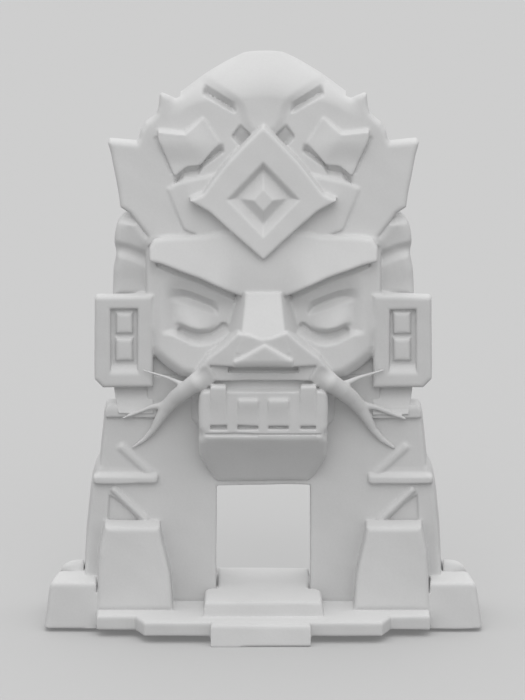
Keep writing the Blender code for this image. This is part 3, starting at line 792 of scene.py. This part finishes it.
# Nose and beard. The nose is a flared wedge over a wide muzzle with a gable-shaped lip on it.
# From the muzzle a root-like branch runs down each side and ends in a tail and two thin twigs.
BRIDGE_TOP = 178.8
BEARD_SEAM = 22.0
muzzle_outline = eased([
    (-13.2, 160.8), (-6.9, 160.0), (-0.7, 157.6), (4.5, 158.4), (12.3, 161.0), (21.5, 152.6), (29.2, 146.2),
    (33.2, 140.8), (37.2, 134.2), (38, 131.0), (30, 130.0), (24.0, 135.0), (28.0, 142.5), (-28.0, 142.5),
    (-24.0, 135.0), (-30, 130.0), (-38, 131.0), (-37.2, 134.2), (-33.2, 140.8), (-29.2, 146.2),
    (-21.5, 152.6),
], 0.8)
gable_outline = eased([(16.0, 142.4), (15.6, 146.6), (0.8, 155.4), (-15.6, 146.0), (-16.0, 142.4)], 0.8)
limb = [
    (27.5, -19.5, 137.4, 4.0), (34.5, -20.0, 132.6, 5.0), (40.2, -16.0, 127.6, 4.6),
    (46.0, -10.0, 121.8, 4.2), (50.4, -6.4, 116.2, 3.6), (53.8, -5.0, 110.2, 2.6),
    (57.2, -3.2, 103.8, 1.8), (61.6, -2.0, 98.6, 1.3), (67.6, -1.2, 94.0, 0.7),
]
twig_high = [(40.5, -14.5, 129.6, 1.6), (50.0, -12.0, 133.4, 0.95), (62.4, -9.0, 136.6, 0.55)]
twig_low = [(49.0, -7.0, 118.4, 1.9), (59.0, -5.2, 116.0, 1.2), (73.6, -4.0, 109.8, 0.65)]


def limb_gap(x, y, z, stations):
    """Signed distance to a limb that tapers through (x, y, z, radius) stations."""
    best = None
    for (x0, y0, z0, r0), (x1, y1, z1, r1) in zip(stations, stations[1:]):
        run = np.array((x1 - x0, y1 - y0, z1 - z0))
        t = ((x - x0) * run[0] + (y - y0) * run[1] + (z - z0) * run[2]) / (run @ run)
        t = np.clip(t, 0, 1)
        away = (x - x0 - t * run[0]) ** 2 + (y - y0 - t * run[1]) ** 2 + (z - z0 - t * run[2]) ** 2
        gap = np.sqrt(away) - (r0 + t * (r1 - r0))
        best = gap if best is None else np.minimum(best, gap)
    return best


def nose_shape(x, y, z):
    reach = np.abs(x)
    drop = BRIDGE_TOP + 1 - z
    front = -14.8 - 0.70 * drop
    flare = 8.8 + 0.12 * drop + 0.3 * np.maximum(y - front, 0)
    bridge = smooth_max((reach - flare) * 0.95, (front - y) * 0.82, 1.4)
    bridge = np.maximum(bridge, np.maximum(z - BRIDGE_TOP, 150 - z))
    bridge = np.maximum(bridge, -30.4 - y)
    muzzle_front = -31.2 + 0.0062 * x * x + 0.3 * np.maximum(142 - z, 0)
    muzzle = smooth_max(outline_gap(x, z, muzzle_outline), muzzle_front - y, 1.7)
    muzzle = np.maximum(muzzle, y + 12)
    gable = smooth_max(outline_gap(x, z, gable_outline), -33.0 + 1.6 * ramp(-z, -147, -142) - y, 2.4)
    gable = np.maximum(gable, y + 20)
    return np.minimum(smooth_min(bridge, muzzle, 0.6), gable)


def beard_shape(x, y, z):
    reach = np.abs(x)
    root = limb_gap(reach, y, z, limb)
    root = smooth_min(root, limb_gap(reach, y, z, twig_high), 1.4)
    root = smooth_min(root, limb_gap(reach, y, z, twig_low), 1.6)
    return smooth_min(root, nose_shape(x, y, z), 2.4)


plan(head, (-75, -35, 92), (75, -1, 181), beard_shape, {
    "nose": lambda x, y, z: np.abs(x) - BEARD_SEAM,
    "beard_branch_left": lambda x, y, z: BEARD_SEAM + x,
    "beard_branch_right": lambda x, y, z: BEARD_SEAM - x,
}, "idol_stone")

# Upper lip. A plain strip closes the mouth above, with a deep slot over it in the shadow of
# the muzzle.
lip_outline = eased([(28.6, 143), (24.2, 134.0), (-24.2, 134.0), (-28.6, 143)], 1.0)


def lip_shape(x, y, z):
    body = smooth_max(outline_gap(x, z, lip_outline), -24.0 - y, 1.4)
    slot = box_gap(np.abs(x), z, -1, 18.4, 138.2, 144)
    return np.maximum(smooth_max(body, -np.maximum(slot, y + 18.5), 0.6), y + 6)


plan(head, (-29, -25, 133), (29, -9, 144), lip_shape, "upper_lip", "idol_stone")

# Jaw. A deep block juts out over the doorway. Its underside slopes back to the wall, a gum
# wall closes the mouth, and a shadow cut runs under each tooth.
TEETH = (("inner", 2.6, 13.2, 124.9), ("outer", 19.2, 27.4, 132.0))
JAW_FRONT = -26.2
jaw_side = eased([
    (0, 74.2), (-24.2, 101.2), (-26.0, 103.6), (JAW_FRONT, 106.2), (JAW_FRONT, 128.6), (-18.8, 129.2),
    (-18.4, 134.4), (0, 134.4),
], 0.8)
jaw_face = eased(whole([
    (24.8, 74.2), (33.2, 92), (33.6, 101.5), (31.8, 105.5), (33.6, 109), (33.8, 136),
]), 1.5)


def jaw_shape(x, y, z):
    reach = np.abs(x)
    fillet = 9.0 - np.sqrt(81.0 - np.clip(y + 9.0, 0, 8.7) ** 2)
    flare = fillet * ramp(z, 98, 110) - 0.8 * ramp(z, 118, 134)
    body = smooth_max(outline_gap(y + 0 * x, z, jaw_side), outline_gap(x, z, jaw_face) - flare, 5.0)
    crease = np.maximum(np.abs(z - 105.9) - 0.5, y - JAW_FRONT - 1.2) + 0 * x
    body = np.maximum(body, -crease)
    for kind, inner, outer, top in TEETH:
        cut = np.maximum(np.abs(reach - (inner + outer) / 2) - (outer - inner) / 2, np.abs(z - 109.6) - 1.1)
        body = smooth_max(body, -np.maximum(cut, y - JAW_FRONT - 3.6), 0.8)
    return np.maximum(body, y + 0.1)


plan(head, (-43, -27, 73), (43, 0, 136), jaw_shape, "jaw_block", "idol_stone")

# Teeth. Four square teeth of smoother stone are pegged into the jaw. Their faces lean in
# towards the gum, and the outer pair stands taller, like short tusks.
for kind, inner, outer, top in TEETH:

    def tooth_shape(x, y, z, inner=inner, outer=outer, top=top):
        face = JAW_FRONT + 0.2 - 1.9 * ramp(z, 112, top) - y
        edges = np.maximum(np.abs(np.abs(x) - (inner + outer) / 2) - (outer - inner) / 2, face)
        body = smooth_max(edges, np.maximum(z - top, 111.0 - z), 1.6)
        return np.maximum(body, y - JAW_FRONT - 5)

    plan(head, (-outer, -29, 110), (outer, -21, top + 1), tooth_shape, both("tooth_" + kind), "inset_stone")

# Ears. Long rectangular ears stand out each side, thinning towards the back, each on a short
# root. A sunk panel with a sloping sill holds two square inlays.
ear_outline = [(57, 126.7), (83.2, 126.7), (87.6, 131.2), (87.6, 173.9), (86.4, 175.4), (57, 175.8)]


def ear_shape(x, y, z):
    reach = np.abs(x)
    thin = 0.62 * np.maximum(y - 0.5, 0)
    body = smooth_max(outline_gap(reach, z, ear_outline) + thin * ramp(reach, 62, 70), -7.0 - y, 2.6)
    sill = 138.2 + 0.9 * (y + 3.2)
    panel = np.maximum(np.maximum(65.6 - reach, reach - 79.4), np.maximum(z - 168.2, sill - z))
    body = smooth_max(body, -np.maximum(panel, y + 3.2), 1.8)
    lean = 0.55 * np.maximum(124 - z, 0)
    root = np.maximum(np.maximum(reach - 77.5 + 0.3 * lean, 2.6 - lean - y), np.maximum(112.0 - z, z - 130))
    return np.maximum(smooth_min(body, root, 2.5), np.maximum(57 - reach, y - CORE_FRONT))


plan(head, (-88, -8, 112), (88, 14, 177), ear_shape, both("ear"), "idol_stone")

for kind, low, high in (("upper", 155.0, 166.6), ("lower", 140.6, 152.8)):

    def inlay_shape(x, y, z, low=low, high=high):
        edges = box_gap(np.abs(x), z, 67.7, 76.7, low, high)
        return np.maximum(smooth_max(edges, -5.9 - y, 2.4), y + 2)

    plan(head, (-78, -7, low), (78, -1, high), inlay_shape, both("ear_inlay_" + kind), "inset_stone")
carve(head, 1.2, 0.59, {"idol_stone": idol_stone, "inset_stone": inset_stone})

# Stage. A plain pale floor under broad, soft studio light that is brighter above than below,
# seen straight on and slightly from above by a long lens.
floor_mesh = bpy.data.meshes.new("floor")
floor_mesh.from_pydata([(-6, -3, 0), (6, -3, 0), (6, 6, 0), (-6, 6, 0)], [], [(0, 1, 2, 3)])
floor = bpy.data.objects.new("floor", floor_mesh)
bpy.context.collection.objects.link(floor)
floor_paint = bpy.data.materials.new("floor_paint")
floor_paint.use_nodes = True
floor_shader = floor_paint.node_tree.nodes["Principled BSDF"]
floor_shader.inputs["Base Color"].default_value = (0.44, 0.44, 0.44, 1)
floor_shader.inputs["Roughness"].default_value = 0.9
floor_mesh.materials.append(floor_paint)
floor.visible_diffuse = False

world = bpy.data.worlds.new("studio")
world.use_nodes = True
sky = world.node_tree
sky.nodes["Background"].inputs["Color"].default_value = (1, 1, 1, 1)
direction = sky.nodes.new("ShaderNodeTexCoord")
height = sky.nodes.new("ShaderNodeSeparateXYZ")
shade = sky.nodes.new("ShaderNodeMapRange")
shade.inputs["From Min"].default_value = -1
shade.inputs["To Min"].default_value = 0.10
shade.inputs["To Max"].default_value = 1.13
sky.links.new(direction.outputs["Generated"], height.inputs["Vector"])
sky.links.new(height.outputs["Z"], shade.inputs["Value"])
sky.links.new(shade.outputs["Result"], sky.nodes["Background"].inputs["Strength"])
bpy.context.scene.world = world
LAMP_SPREAD = math.radians(40)
for name, tilt, turn, power in (
    ("key", 52, 0, 0.62),
    ("top", 4, 0, 0.5),
    ("back", 60, 180, 0.5),
):
    lamp = bpy.data.lights.new(name, "SUN")
    lamp.energy = power
    lamp.angle = LAMP_SPREAD
    lamp.use_shadow = name == "key"
    light = bpy.data.objects.new(name, lamp)
    light.rotation_euler = (math.radians(tilt), 0, math.radians(turn))
    bpy.context.collection.objects.link(light)

ELEVATION = math.radians(12)
DISTANCE = 2.0
AIM_X = -0.0004
AIM_Z = 0.1454
VIEW_WIDTH = 0.364
camera_data = bpy.data.cameras.new("camera")
camera_data.type = "ORTHO"
camera_data.ortho_scale = VIEW_WIDTH
camera = bpy.data.objects.new("camera", camera_data)
camera.location = (AIM_X, -DISTANCE * math.cos(ELEVATION), AIM_Z + DISTANCE * math.sin(ELEVATION))
camera.rotation_euler = (math.pi / 2 - ELEVATION, 0, 0)
bpy.context.collection.objects.link(camera)
bpy.context.scene.camera = camera
bpy.context.scene.view_settings.view_transform = "Standard"
